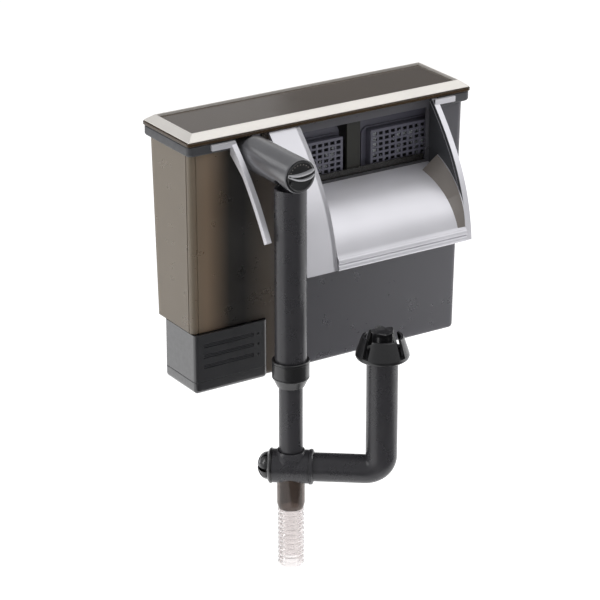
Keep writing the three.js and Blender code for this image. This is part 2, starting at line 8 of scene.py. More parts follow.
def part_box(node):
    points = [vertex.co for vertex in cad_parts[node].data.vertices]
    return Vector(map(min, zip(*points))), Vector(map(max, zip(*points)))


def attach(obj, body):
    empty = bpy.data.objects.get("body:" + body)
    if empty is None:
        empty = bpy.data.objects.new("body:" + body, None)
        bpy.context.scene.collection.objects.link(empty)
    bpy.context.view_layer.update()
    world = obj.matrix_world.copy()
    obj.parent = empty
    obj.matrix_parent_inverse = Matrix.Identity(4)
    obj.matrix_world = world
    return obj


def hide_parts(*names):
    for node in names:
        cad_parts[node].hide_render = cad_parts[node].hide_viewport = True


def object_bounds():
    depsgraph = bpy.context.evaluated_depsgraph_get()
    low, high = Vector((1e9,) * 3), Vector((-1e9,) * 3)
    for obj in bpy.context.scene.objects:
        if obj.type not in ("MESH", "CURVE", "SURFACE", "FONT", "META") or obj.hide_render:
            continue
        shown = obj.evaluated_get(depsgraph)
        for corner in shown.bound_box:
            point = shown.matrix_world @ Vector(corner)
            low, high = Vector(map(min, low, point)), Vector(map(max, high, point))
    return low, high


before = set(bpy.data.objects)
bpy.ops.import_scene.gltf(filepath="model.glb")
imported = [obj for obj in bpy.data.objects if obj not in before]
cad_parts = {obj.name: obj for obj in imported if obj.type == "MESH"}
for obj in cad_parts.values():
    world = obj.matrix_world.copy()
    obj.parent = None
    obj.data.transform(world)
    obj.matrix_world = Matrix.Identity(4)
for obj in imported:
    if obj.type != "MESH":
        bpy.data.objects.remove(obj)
cad_low, cad_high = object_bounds()

MM = 0.001  # shapes are written in millimetres, Blender works in metres
AROUND = 96  # sides of a large round piece
FLOOR_CLEARANCE = 0.045  # metres; the telescopic pipe comes down 40 mm


# ---- where the frame's nodes are, in millimetres
def span(node):
    """(lowest corner, highest corner) of a CAD node, in millimetres."""
    low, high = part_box(node)
    return low / MM, high / MM


def middle(node):
    low, high = span(node)
    return (low + high) / 2


PIPE = middle("upper_tube")  # axis of the pipes inside the tank
INNER = middle("inner_downpipe")  # axis of the pipe down to the impeller
INTAKE_Z = middle("flow_valve").z
TEE_AT = Vector((PIPE.x, PIPE.y, middle("tee_cap_ring").z))
RISER_AT = middle("skimmer_head")
ALONG_TEE = Vector((RISER_AT.x - PIPE.x, RISER_AT.y - PIPE.y, 0)).normalized()
REACH = math.hypot(RISER_AT.x - PIPE.x, RISER_AT.y - PIPE.y)
TEE_HALF = 13.2  # half the length of the tee's barrel
TEE_RADIUS = 12.3
TEE_BORE = 10.85

BOX = {"top": (117.5, 6.4, 62.9, 56), "bottom": (115, 9, 58, -132.65)}  # half width, front, back, height
WALL = 2.2
STEP_X = -54  # the deep media chamber lies to the right of this step
WELL_FLOOR = -86.7
WINDOW = (-27.5, 85, 8.3, 49.4)  # left, right, low, high
PAST = {"left": -130, "front": 0, "back": 70, "foot": -140}  # just outside the box, for its cuts
SEAT = (-6.3, 5.9)  # front and back of the flat underside that stands on the glass
CHUTE_THICK = 2.6


# ---- materials
def linear(code):
    """A six-digit hex colour as linear red, green, blue and alpha."""
    parts = [int(code[i : i + 2], 16) / 255 for i in (0, 2, 4)]
    return (*(c / 12.92 if c < 0.04 else ((c + 0.055) / 1.055) ** 2.4 for c in parts), 1)


class Shader:
    """A material of one Principled shader, with its node tree at hand."""

    def __init__(self, name, **values):
        self.material = bpy.data.materials.new(name)
        self.material.use_nodes = True
        self.tree = self.material.node_tree
        self.surface = next(n for n in self.tree.nodes if n.type == "BSDF_PRINCIPLED")
        for socket, value in values.items():
            self.surface.inputs[socket.replace("_", " ")].default_value = value
        self.place = self.node("ShaderNodeTexCoord").outputs["Object"]

    def node(self, kind, *links, **values):
        """A new node, with (output, socket) links into it and values on its other sockets."""
        made = self.tree.nodes.new(kind)
        for output, socket in links:
            self.tree.links.new(output, made.inputs[socket])
        for socket, value in values.items():
            made.inputs[socket.replace("_", " ")].default_value = value
        return made

    def noise(self, scale, detail, stretch=(1, 1, 1)):
        """A noise of that many waves per metre, stretched along the axes."""
        mapped = self.node("ShaderNodeMapping", (self.place, "Vector"), Scale=stretch).outputs["Vector"]
        texture = self.node("ShaderNodeTexNoise", (mapped, "Vector"), Scale=scale, Detail=detail)
        texture.inputs["Roughness"].default_value = 0.55
        return texture.outputs["Fac"]

    def cells(self, scale):
        return self.node("ShaderNodeTexVoronoi", (self.place, "Vector"), Scale=scale).outputs["Distance"]

    def bands(self, scale, axis, distortion=0.0):
        texture = self.node("ShaderNodeTexWave", (self.place, "Vector"), Scale=scale, Distortion=distortion)
        texture.bands_direction = axis
        return texture.outputs["Fac"]

    def along(self, axis, low, high):
        """0 to 1 along an axis, between two places in millimetres."""
        split = self.node("ShaderNodeSeparateXYZ", (self.place, "Vector")).outputs[axis]
        share = self.node("ShaderNodeMapRange", (split, "Value"), From_Min=low * MM, From_Max=high * MM)
        return share.outputs["Result"]

    def ramp(self, fac, *stops):
        """Colours or grey levels along fac: (position, colour) pairs."""
        ramp = self.node("ShaderNodeValToRGB", (fac, "Fac"))
        elements = ramp.color_ramp.elements
        while len(elements) < len(stops):
            elements.new(0.5)
        for element, (position, colour) in zip(elements, stops):
            element.position = position
            element.color = colour if isinstance(colour, tuple) else (colour, colour, colour, 1)
        return ramp.outputs["Color"]

    def paint(self, fac, *stops):
        self.tree.links.new(self.ramp(fac, *stops), self.surface.inputs["Base Color"])

    def gloss(self, fac, low, high):
        self.tree.links.new(self.ramp(fac, (0.3, low), (0.7, high)), self.surface.inputs["Roughness"])

    def bump(self, fac, distance, strength=1.0):
        """Bump of that many millimetres."""
        relief = self.node("ShaderNodeBump", (fac, "Height"), Distance=distance * MM, Strength=strength)
        self.tree.links.new(relief.outputs["Normal"], self.surface.inputs["Normal"])


def tinted(colour, share):
    """The colour made lighter or darker by a share."""
    return (*(min(c * share, 1) for c in colour[:3]), 1)


def smoked(name, colour, transmission, roughness):
    """Tinted clear plastic, with a noise in its tint and in its gloss."""
    made = Shader(name, Roughness=roughness, IOR=1.46, Transmission_Weight=transmission)
    tint = linear(colour)
    made.paint(made.noise(22, 2), (0.25, tinted(tint, 0.93)), (0.75, tinted(tint, 1.06)))
    made.gloss(made.noise(70, 4), roughness * 0.8, roughness * 1.3)
    return made.material


def box_plastic(name, *stops):
    """The box's smoke-tinted plastic; its tint changes from the left end of the box to the right."""
    made = Shader(name, Roughness=0.3, IOR=1.46, Transmission_Weight=0.55)
    end = BOX["top"][0]
    made.paint(made.along("X", -end, end), *((place, linear(colour)) for place, colour in stops))
    made.gloss(made.noise(70, 4), 0.26, 0.34)
    return made.material


def moulded(name, colour, roughness, grain=0.002, coat=0.0):
    """Opaque moulded plastic: a fine spark-eroded grain and slight flow marks."""
    made = Shader(name, Roughness=roughness, Coat_Weight=coat, Coat_Roughness=0.16)
    tint = linear(colour)
    made.paint(made.noise(35, 4), (0.3, tinted(tint, 0.88)), (0.7, tinted(tint, 1.12)))
    made.gloss(made.noise(260, 5), roughness * 0.85, min(roughness * 1.15, 1))
    made.bump(made.noise(1100, 2), grain, 0.5)
    return made.material


def plated(name, colour, roughness, metallic):
    """Vacuum-plated silver plastic: satin, with drawn handling marks in its gloss."""
    made = Shader(name, Roughness=roughness, Metallic=metallic)
    tint = linear(colour)
    made.paint(made.noise(18, 2), (0.3, tinted(tint, 0.95)), (0.7, tinted(tint, 1.03)))
    made.gloss(made.noise(60, 4, stretch=(0.15, 1, 1)), roughness * 0.85, roughness * 1.25)
    return made.material


def patterned(made, pattern, *stops, relief, depth):
    """A material with colours along a pattern and a relief of that many millimetres."""
    made.paint(pattern, *((place, linear(colour)) for place, colour in stops))
    made.bump(relief, depth)
    return made.material


def make_materials():
    made = {
        "smoke_clear": box_plastic("smoke clear plastic", (0.0, "8f8270"), (0.4, "706f75")),
        # Painted shadow: a dark band in the tint, where the inner pipe and the pump stand behind the front
        # wall.
        "smoke_painted_shadow": box_plastic(
            "smoke clear plastic with painted shadow of the inner pipe",
            *((0.0, "8f8270"), (0.06, "a08a74"), (0.14, "3c3936")),
            *((0.19, "32302f"), (0.28, "6c6054"), (0.4, "706f75")),
        ),
        "smoke_dark": smoked("dark smoke plastic", "6e625b", 0.85, 0.12),
        "lid_smoke": smoked("lid smoke plastic", "54422e", 0.5, 0.12),
        # The rim's own grey; also painted shade on the fin's inner face.
        "rim_grey": moulded("rim grey plastic and painted fin shade", "3c3d40", 0.45),
        "tube_smoke": smoked("pipe smoke plastic", "47464a", 0.5, 0.28),
        "intake_grey": moulded("intake grey plastic", "5a5a5d", 0.35, coat=1.0),
        "black_plastic": moulded("black plastic", "151517", 0.4, coat=0.5),
        "pump_grey": moulded("pump grey plastic", "222225", 0.42, coat=1.0),
        "guide_olive": moulded("dark olive plastic", "2c2c27", 0.4),
        "painted_highlight_grey": moulded("light grey plastic", "a9a9ac", 0.3, coat=0.6),
        # Painted shade on the spillway's kerb; also the dial marks on the flow knob.
        "painted_shade_and_mark_grey": moulded("grey plastic for painted kerb shade and knob marks", "756f6a", 0.45, coat=0.3),
        "silver": plated("silver plating", "dbdadf", 0.38, 0.5),
        "trim_silver": plated("bright trim plating", "ece8e2", 0.34, 0.4),
        "cartridge_grey": moulded("cartridge grey plastic", "5e5d69", 0.42, coat=0.3),
        "clear_hose": smoked("clear hose plastic", "f3eeed", 0.9, 0.06),
        "clear_plastic": smoked("clear strip plastic", "6d6a66", 0.85, 0.12),
        "rubber": moulded("black rubber", "1b1b1b", 0.75, 0.01),
    }

    floss = Shader("polyester floss", Roughness=0.95, Sheen_Weight=0.35)
    made["floss"] = patterned(floss, floss.noise(120, 4), (0.55, "0d0d10"), (0.6, "e6e9ec"),
                              relief=floss.noise(900, 5), depth=0.6)
    foam = Shader("open-cell foam", Roughness=0.98)
    made["foam"] = patterned(foam, foam.cells(420), (0.0, "08080a"), (0.6, "3a3a3f"),
                             relief=foam.cells(420), depth=1.0)
    ceramic = Shader("white ceramic", Roughness=0.25)
    made["ceramic"] = patterned(ceramic, ceramic.noise(600, 3), (0.35, "ded9cf"), (0.65, "f2eee6"),
                                relief=ceramic.noise(2000, 2), depth=0.004)
    ferrite = Shader("sintered ferrite", Roughness=0.6, Metallic=0.2)
    made["ferrite"] = patterned(ferrite, ferrite.noise(900, 4), (0.35, "242322"), (0.65, "3a3836"),
                                relief=ferrite.noise(1500, 4), depth=0.02)
    steel = Shader("stacked laminations", Roughness=0.4, Metallic=1.0)
    made["steel"] = patterned(steel, steel.bands(320, "Y"), (0.3, "5c5f63"), (0.6, "a0a3a8"),
                              relief=steel.bands(320, "Y"), depth=0.1)
    copper = Shader("enamelled winding", Roughness=0.35, Metallic=1.0)
    made["copper"] = patterned(copper, copper.bands(260, "Z", 0.4), (0.2, "6e3a1c"), (0.7, "c67c46"),
                               relief=copper.bands(260, "Z", 0.4), depth=0.3)
    return made


MATERIALS = make_materials()


# ---- making meshes
def mesh_of(points, faces):
    """A mesh from points in millimetres, with its faces turned outwards."""
    mesh = bpy.data.meshes.new("shape")
    mesh.from_pydata([Vector(p) * MM for p in points], [], faces)
    mesh.validate()
    work = bmesh.new()
    work.from_mesh(mesh)
    bmesh.ops.remove_doubles(work, verts=work.verts, dist=1e-7)
    bmesh.ops.recalc_face_normals(work, faces=work.faces)
    work.to_mesh(mesh)
    work.free()
    return mesh


def loft(rings, closed=False):
    """A skin over rings of points, capped at both ends or joined into a loop."""
    count = len(rings[0])
    points = [p for ring in rings for p in ring]
    faces = []
    last = len(rings) if closed else len(rings) - 1
    for i in range(last):
        here, there = i * count, (i + 1) % len(rings) * count
        for j in range(count):
            k = (j + 1) % count
            faces.append((here + j, here + k, there + k, there + j))
    if not closed:
        faces.append(tuple(range(count - 1, -1, -1)))
        faces.append(tuple((len(rings) - 1) * count + j for j in range(count)))
    return mesh_of(points, faces)


AXES = {
    "z": (Vector((1, 0, 0)), Vector((0, 1, 0)), Vector((0, 0, 1))),
    "y": (Vector((0, 0, 1)), Vector((1, 0, 0)), Vector((0, 1, 0))),
    "tee": (Vector((0, 0, 1)), ALONG_TEE.cross(Vector((0, 0, 1))) * -1, ALONG_TEE),
}


def turned(profile, axis, at, sides=AROUND):
    """A turned piece: (radius, height) points from end to end of the axis, or a closed loop off the axis."""
    across, up, along = AXES[axis]
    centre = Vector(at)
    looped = profile[0] == profile[-1]
    if looped:
        profile = profile[:-1]
    points, rows = [], []
    for radius, height in profile:
        if radius < 1e-6:
            rows.append([len(points)])
            points.append(centre + along * height)
            continue
        rows.append(range(len(points), len(points) + sides))
        for j in range(sides):
            angle = 2 * math.pi * j / sides
            aside, above = across * radius * math.cos(angle), up * radius * math.sin(angle)
            points.append(centre + aside + above + along * height)
    pairs = list(zip(rows, rows[1:]))
    if looped:
        pairs.append((rows[-1], rows[0]))
    faces = []
    for here, there in pairs:
        for j in range(sides):
            k = (j + 1) % sides
            if len(here) == 1 and len(there) > 1:
                faces.append((here[0], there[k], there[j]))
            elif len(there) == 1 and len(here) > 1:
                faces.append((here[j], here[k], there[0]))
            elif len(here) > 1:
                faces.append((here[j], here[k], there[k], there[j]))
    return mesh_of(points, faces)


def disc(radius, low, high):
    return [(0, low), (radius, low), (radius, high), (0, high)]


def ring(bore, radius, low, high):
    return [(bore, low), (radius, low), (radius, high), (bore, high), (bore, low)]


def rounded_rect(sides, inset, radius, z, steps=8):
    """A rectangle with rounded corners at height z: its left, right, front and back drawn in by inset."""
    left, right, front, back = (side + way * (inset + radius) for side, way in zip(sides, (1, -1, 1, -1)))
    corners = [(right, back), (left, back), (left, front), (right, front)]
    points = []
    for quarter, (x, y) in enumerate(corners):
        for i in range(steps + 1):
            angle = (quarter + i / steps) * math.pi / 2
            points.append((x + radius * math.cos(angle), y + radius * math.sin(angle), z))
    return points


def block(x0, x1, y0, y1, z0, z1):
    return loft([[(x0, y0, z), (x1, y0, z), (x1, y1, z), (x0, y1, z)] for z in (z0, z1)])


def side_plate(outline, x0, x1):
    """A plate drawn in (y, z) from x0 to x1."""
    return loft([[(x, y, z) for y, z in outline] for x in (x0, x1)])


def front_plate(outline, y0, y1):
    """A plate drawn in (x, z) from y0 to y1."""
    return loft([[(x, y, z) for x, z in outline] for y in (y0, y1)])


def bezier(*pulls, steps=40):
    """A smooth line from the first point to the last, drawn towards those between."""
    last = len(pulls) - 1
    points = []
    for i in range(steps + 1):
        t = i / steps
        shares = [math.comb(last, k) * (1 - t) ** (last - k) * t**k for k in range(last + 1)]
        points.append(tuple(sum(share * p[axis] for share, p in zip(shares, pulls)) for axis in (0, 1)))
    return points


def offset(points, distance):
    """The same line moved sideways, to the left of its run for a positive distance."""
    moved = []
    for i, (a, b) in enumerate(points):
        before, after = points[max(i - 1, 0)], points[min(i + 1, len(points) - 1)]
        run = Vector((after[0] - before[0], after[1] - before[1])).normalized()
        moved.append((a - run.y * distance, b + run.x * distance))
    return moved


def placed(name, data):
    """A new object in the scene."""
    made = bpy.data.objects.new(name, data)
    bpy.context.scene.collection.objects.link(made)
    return made


def shape(base, *steps):
    """base joined with or cut by other meshes: ("+", mesh) or ("-", mesh) in turn."""
    whole = placed("work", base)
    helpers = []
    for sign, other in steps:
        tool = placed("tool", other)
        helpers.append(tool)
        modifier = whole.modifiers.new("join", "BOOLEAN")
        modifier.operation = "UNION" if sign == "+" else "DIFFERENCE"
        modifier.solver = "EXACT"
        modifier.object = tool
    view = bpy.context.evaluated_depsgraph_get()
    made = bpy.data.meshes.new_from_object(whole.evaluated_get(view))
    for helper in [whole, *helpers]:
        bpy.data.objects.remove(helper)
    return made


def piece(name, mesh, body, slot, replaces=(), material=None, bevel=0.3, segments=2, angle=32):
    """A finished piece: edges rounded by bevel millimetres, riding on a body, standing for CAD nodes."""
    made = placed(name, mesh)
    mesh.name = name
    mesh.materials.clear()
    mesh.materials.append(MATERIALS[material or slot])
    mesh.polygons.foreach_set("use_smooth", [True] * len(mesh.polygons))
    mesh.polygons.foreach_set("material_index", [0] * len(mesh.polygons))
    mesh.set_sharp_from_angle(angle=math.radians(angle))
    if bevel:
        rounding = made.modifiers.new("rounding", "BEVEL")
        rounding.width = bevel * MM
        rounding.segments = segments
        rounding.limit_method = "ANGLE"
        rounding.angle_limit = math.radians(angle)
        rounding.miter_outer = "MITER_ARC"
        made.modifiers.new("shading", "WEIGHTED_NORMAL").keep_sharp = True
    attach(made, body)
    if replaces:
        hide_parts(*replaces)
    return made


def repaint(made, material, chosen):
    """Another material on the faces for which chosen(middle in millimetres, normal) is true."""
    made.data.materials.append(MATERIALS[material])
    for face in made.data.polygons:
        if chosen(face.center / MM, face.normal):
            face.material_index = len(made.data.materials) - 1


# ---- lid
def make_lid():
    trim_low, trim_high = span("lid_trim")
    low, high = span("lid_window")
    y = (low.y + high.y) / 2
    half, deep = trim_high.x, (trim_high.y - trim_low.y) / 2
    bevel, lip = 6, 0.6
    flange_top = trim_low.z - 0.3
    deck = high.z

    def band(inset, z, radius=1.0):
        return rounded_rect((-half, half, y - deep, y + deep), inset, radius, z, 4)

    open_at = bevel + lip
    window_wall = 2.3
    flange = loft([band(-1.0, low.z, 3), band(-1.0, flange_top, 3)])
    edge = ((0.3, flange_top - 1), (0.3, deck - 0.5), (0.8, deck))
    panel = loft([band(open_at + inset, height) for inset, height in edge])
    hollow = loft([band(open_at + window_wall, low.z - 1), band(open_at + window_wall, deck - 2)])
    window = shape(flange, ("+", panel), ("-", hollow))
    piece("lid_window", window, "lid", "smoke_dark", ["lid_window"], "lid_smoke", bevel=0.4)

    z = trim_low.z
    top = trim_high.z
    profile = [(0, z), (0, z + 0.5), (bevel - 0.2, top - 0.1), (bevel + 0.1, top), (open_at - 0.2, top),
               (open_at, top - 0.2), (open_at, z)]
    trim = loft([band(inset, height, 0.8 if inset < 1 else 0.3) for inset, height in profile], closed=True)
    piece("lid_trim", trim, "lid", "trim_silver", ["lid_trim"], bevel=0.15)


# ---- box
def box_outline(z, inset):
    """The box's outline at height z, drawn in by inset: it narrows slightly towards the bottom."""
    corner = max(4.0 - inset, 0.8)
    top, bottom = BOX["top"], BOX["bottom"]
    down = (top[3] - z) / (top[3] - bottom[3])
    half, front, back = (top[i] + (bottom[i] - top[i]) * down for i in range(3))
    return rounded_rect((-half, half, front, back), inset, corner, z)


def corner_groove(along_x, along_y):
    """A fine upright groove beside the front left corner, that far from the corner along each face."""
    deep, wide = 0.6, 0.9
    rings = []
    for half, front, _, z in (BOX["top"], BOX["bottom"]):
        x, y = -half + along_x, front + along_y
        x_in, y_in = (x + wide, y + deep) if along_x else (x + deep, y + wide)
        x_out, y_out = (x, y - 1) if along_x else (x - 1, y)
        rings.append([(x_out, y_out, z), (x_in, y_out, z), (x_in, y_in, z), (x_out, y_in, z)])
    return loft(rings)


def make_box():
    floor, top = BOX["bottom"][3], BOX["top"][3]
    foot = 3.0  # the round between the walls and the floor
    rounded = []
    for i in range(6, -1, -1):
        turn = i * math.pi / 12
        rounded.append(box_outline(floor + foot - foot * math.sin(turn), foot - foot * math.cos(turn)))
    shell = loft([*rounded, box_outline(top, 0)])
    edge = ((floor + WALL, WALL + 1), (floor + WALL + 1, WALL), (top + 1, WALL))
    hollow = loft([box_outline(height, inset) for height, inset in edge])
    beside = (PAST["front"], PAST["back"], PAST["foot"])
    kept = block(PAST["left"], STEP_X + WALL, *beside, WELL_FLOOR + WALL)
    inside = shape(hollow, ("-", kept))
    left, right, low, high = WINDOW
    notch = 10.8  # half the width of the slot that the intake stands in
    downpipe_hole = turned(disc(10.2, WELL_FLOOR - 3.3, WELL_FLOOR + 6.7), "z", (INNER.x, INNER.y, 0))
    through = 12  # a cut from the front ends here, behind the front wall
    body = shape(
        shell,
        ("-", block(PAST["left"], STEP_X, *beside, WELL_FLOOR)),
        ("-", inside),
        ("-", block(left, right, PAST["front"], through, low, high)),
        ("-", block(PIPE.x - notch, PIPE.x + notch, PAST["front"], through, INTAKE_Z, top + 4)),
        ("-", turned(disc(notch, PAST["front"], through), "y", (PIPE.x, 0, INTAKE_Z))),
        ("-", downpipe_hole),
        *(("-", corner_groove(along_x, along_y)) for along_x, along_y in ((0, 4.4), (4.4, 0))),
    )
    made = piece("housing_body", body, "housing", "smoke_clear", ["housing_body"], bevel=0.45, segments=3)
    # The outer faces of the front wall take the tint with the painted shadow of the inner pipe and the pump.
    repaint(made, "smoke_painted_shadow", lambda place, normal: normal.y < -0.9 and place.y < through)
    make_rim()


def make_rim():
    low, high = span("housing_rim")
    y, half, deep = (low.y + high.y) / 2, high.x, (high.y - low.y) / 2

    def band(inset, z):
        return rounded_rect((-half, half, y - deep, y + deep), inset, 4.0, z)

    foot = low.z + 1.8
    edge = ((1.8, foot), (0.6, foot + 0.6), (0, foot + 1.8), (0, high.z - 0.5), (0.5, high.z))
    outside = loft([band(inset, height) for inset, height in edge])
    bore = loft([box_outline(z, -0.35) for z in (low.z - 1, high.z + 1)])
    gap_left, gap_right = PIPE.x - 13.2, 91.6  # the rim is open at the front between these
    gap = block(gap_left, gap_right, 0, 8, low.z - 1, high.z + 1)
    rim = shape(outside, ("-", bore), ("-", gap))
    piece("housing_rim", rim, "housing", "rim_grey", ["housing_rim"], bevel=0.25)


# ---- spillway and hanging bracket
SPILL_TOP = bezier((5.9, 7.5), (-18, 6), (-40, -5), (-45.6, -27))
SPILL_UNDER = [p for p in offset(SPILL_TOP, CHUTE_THICK) if p[0] < SEAT[0]]
BRACKET_FRONT = bezier((3, 56.4), (-27, 26), (-43, 2), (-47, -37.5))
TAB = (-0.8, 1.7, 52.3, 56.4)  # front, back, foot and top of the tabs on the fin and the left hook arm
SIDE_OUTLINE = [
    *BRACKET_FRONT,
    (-44.6, -38),
    *reversed(SPILL_UNDER),
    (SEAT[0], SPILL_UNDER[0][1]),
    (SEAT[0], 0.2),
    (SEAT[1], 0.2),
    (SEAT[1], 56.4),
]
LEAN = 2.4 / 48  # the fin leans towards the middle as it comes forward


def leaned(mesh, least_x):
    """The mesh with its points right of least_x moved in, the more the further forward they are."""
    for vertex in mesh.vertices:
        if vertex.co.x > least_x * MM:
            vertex.co.x -= max(-vertex.co.y, 0) * LEAN
    return mesh


def bead(y, z, radius, proud):
    """Points of a round bead on the lip's face, from its top to its foot."""
    points = []
    for i in range(9):
        angle = math.pi / 2 - i * math.pi / 8
        points.append((y - proud * math.cos(angle), z + radius * math.sin(angle)))
    return points


def make_spillway():
    low, high = span("spillway_chute")
    beads = [point for z in (-31.0, -35.6) for point in bead(-46.8, z, 2.2, 1.6)]
    lip = [(-46.4, -28.2), *beads, (-46.2, -38), (-45.4, -38), (-45.4, -31)]
    foot = [(SEAT[0], SPILL_UNDER[0][1]), (SEAT[0], 0), (SEAT[1], 0)]
    chute = side_plate([*SPILL_TOP, *lip, *reversed(SPILL_UNDER), *foot], low.x, high.x)
    whole = leaned(shape(chute, ("+", make_kerb(high.x))), 40)
    made = piece("spillway_chute", whole, "housing", "silver", ["spillway_chute"], bevel=0.25)
    # Painted shade: the faces of the kerb turned to the left get a dull darker grey in place of the silver
    # plating.
    repaint(made, "painted_shade_and_mark_grey", lambda at, normal: normal.x < -0.1 and at.x > 60)
    make_shield()
    make_fin()


def make_shield():
    low, high = span("intake_shield")
    inner = offset(BRACKET_FRONT, 2.5)
    strap = side_plate([*BRACKET_FRONT, *reversed(inner)], low.x, high.x)
    border = side_plate(SIDE_OUTLINE, high.x - 2.6, high.x)
    fold = side_plate([*BRACKET_FRONT[8:], *reversed(offset(BRACKET_FRONT, 7)[8:])], low.x, low.x + 1.8)
    rib = side_plate([*BRACKET_FRONT, *reversed(offset(BRACKET_FRONT, 1.0))], high.x - 3.4, high.x)
    shield = shape(strap, ("+", border), ("+", fold), ("+", rib))
    piece("intake_shield", shield, "housing", "silver", ["intake_shield"], bevel=0.5, segments=3)


def make_fin():
    low, high = span("side_fin")
    fin_right = low.x + 4.5
    plate = side_plate(SIDE_OUTLINE, low.x, fin_right)
    groove_line = offset(BRACKET_FRONT, 3.0)
    groove = side_plate([*groove_line, *reversed(offset(groove_line, 1.0))], low.x - 1, low.x + 0.7)
    tab = block(low.x + 0.5, high.x, *TAB)
    fin = leaned(shape(plate, ("-", groove), ("+", tab)), 40)
    made = piece("side_fin", fin, "housing", "silver", ["side_fin"], bevel=0.5, segments=3)
    # Painted shade: the fin's face turned to the left gets the dark rim grey in place of the silver plating.
    repaint(made, "rim_grey", lambda at, normal: normal.x < -0.8)


def make_kerb(right):
    """The slanted kerb that keeps the water off the fin: narrow at the lip, wide and tall at the sill."""
    height, first = 12, 6
    sunken = offset(SPILL_TOP, 1)
    last = len(SPILL_TOP) - 1
    rings = []
    for i in range(first, last + 1):
        share = i / last
        tall = max(height * (1 - share) ** 0.8, 0.8)
        width = 13.5 - 6.5 * share
        y, z = SPILL_TOP[i]
        top_y, top_z = offset(SPILL_TOP, -tall)[i]
        sunk_y, sunk_z = sunken[i]
        rings.append([
            (right - width, y, z),
            (right - 0.8, top_y, top_z),
            (right, top_y, top_z),
            (right, sunk_y, sunk_z),
            (right - width, sunk_y, sunk_z),
        ])
    return loft(rings)


def make_hooks():
    low, high = span("left_hook_arm")
    right = high.x
    front = bezier((1.4, 56.4), (-25, 33), (-46.5, -5), steps=30)
    behind = [p for p in offset(front, 4) if p[0] < -14]
    arm = side_plate([*front, *reversed(behind), (1.6, 46.5)], right - 4, right)
    whole = shape(arm, ("+", block(low.x, right - 0.5, *TAB)))
    piece("left_hook_arm", whole, "housing", "silver", ["left_hook_arm"], bevel=0.6, segments=3)


# ---- media chamber
def grid_plate(xs, zs, y0, y1):
    """A plate with a hole in every cell whose column and row are both odd; xs and zs are the cell borders."""
    points, faces, found = [], [], {}

    def corner(i, k, y):
        key = (i, k, y)
        if key not in found:
            found[key] = len(points)
            points.append((xs[i], y, zs[k]))
        return found[key]

    def is_open(i, k):
        inside = 0 <= i < len(xs) - 1 and 0 <= k < len(zs) - 1
        return not inside or (i % 2 == 1 and k % 2 == 1)

    for i in range(len(xs) - 1):
        for k in range(len(zs) - 1):
            if is_open(i, k):
                continue
            faces.append([corner(*c, y0) for c in ((i, k), (i + 1, k), (i + 1, k + 1), (i, k + 1))])
            faces.append([corner(*c, y1) for c in ((i, k + 1), (i + 1, k + 1), (i + 1, k), (i, k))])
            for di, dk, a, b in ((-1, 0, (i, k + 1), (i, k)), (1, 0, (i + 1, k), (i + 1, k + 1)),
                                 (0, -1, (i, k), (i + 1, k)), (0, 1, (i + 1, k + 1), (i, k + 1))):
                if is_open(i + di, k + dk):
                    faces.append([corner(*a, y0), corner(*a, y1), corner(*b, y1), corner(*b, y0)])
    return mesh_of(points, faces)


def borders(first, last, pitch, hole):
    """Cell borders from first to last, with holes of that size centred at every pitch."""
    count = int((last - first - 1.5) // pitch)
    start = (first + last - count * pitch) / 2
    edges = [first]
    for i in range(count):
        centre = start + (i + 0.5) * pitch
        edges += [centre - hole / 2, centre + hole / 2]
    return [*edges, last]


def tray_outline(x0, x1, z0, z1, corner):
    """A cartridge's outline in (x, z): square at the foot, rounded at the two upper corners."""
    steps = 8
    points = [(x0, z0), (x1, z0)]
    for quarter, x in enumerate((x1 - corner, x0 + corner)):
        for i in range(steps + 1):
            angle = (quarter + i / steps) * math.pi / 2
            points.append((x + corner * math.cos(angle), z1 - corner + corner * math.sin(angle)))
    return points


def make_cartridge(side):
    low, high = span(f"cartridge_frame_{side}")
    x0, x1, front, back, foot = low.x, high.x, low.y, high.y, low.z
    head, panel_head, proud = 47.0, 38.0, 6.4
    flange_y = front + proud
    wall = 1.6

    rim = front_plate(tray_outline(x0, x1, foot, head, 8), flange_y, back)
    inner = tray_outline(x0 + wall, x1 - wall, foot + wall, head - wall, 6.4)
    hollow = front_plate(inner, flange_y + 1.4, back + 1)
    gap = block(x0 + 8.4, x1 - 2.1, front - 1, back + 1, foot + 5, panel_head - 1.4)
    around = tray_outline(x0 + 2.2, x1 - 0.2, foot + 1, panel_head + 1.9, 5.4)
    within = tray_outline(x0 + 3.0, x1 - 0.9, foot + 1.8, panel_head + 1.1, 4.7)
    seam = shape(
        front_plate(around, flange_y - 1.3, flange_y + 0.2),
        ("-", front_plate(within, flange_y - 2, flange_y + 1)),
    )
    left, right, panel_foot = x0 + 7, x1 - 0.7, foot + 3.6
    panel = tray_outline(left, right, panel_foot, panel_head, 1.2)
    walls = front_plate(panel, front + 1.2, flange_y + 0.2)
    handle = block((x0 + x1) / 2 - 8, (x0 + x1) / 2 + 8, 18, 20, head - 1, high.z)
    tray = shape(rim, ("-", hollow), ("+", seam), ("+", walls), ("-", gap), ("+", handle))
    body = f"cartridge_{side}"
    piece(f"cartridge_frame_{side}", tray, body, "cartridge_grey", [f"cartridge_frame_{side}"], bevel=0.25)

    xs = borders(left, right, 5.3, 3.6)
    zs = borders(panel_foot, panel_head, 4.15, 2.6)
    grid = grid_plate(xs, zs, front, front + 1.2)
    piece(f"cartridge_grid_{side}", grid, body, "cartridge_grey", bevel=0.12, segments=1)
    make_floss(side, body)


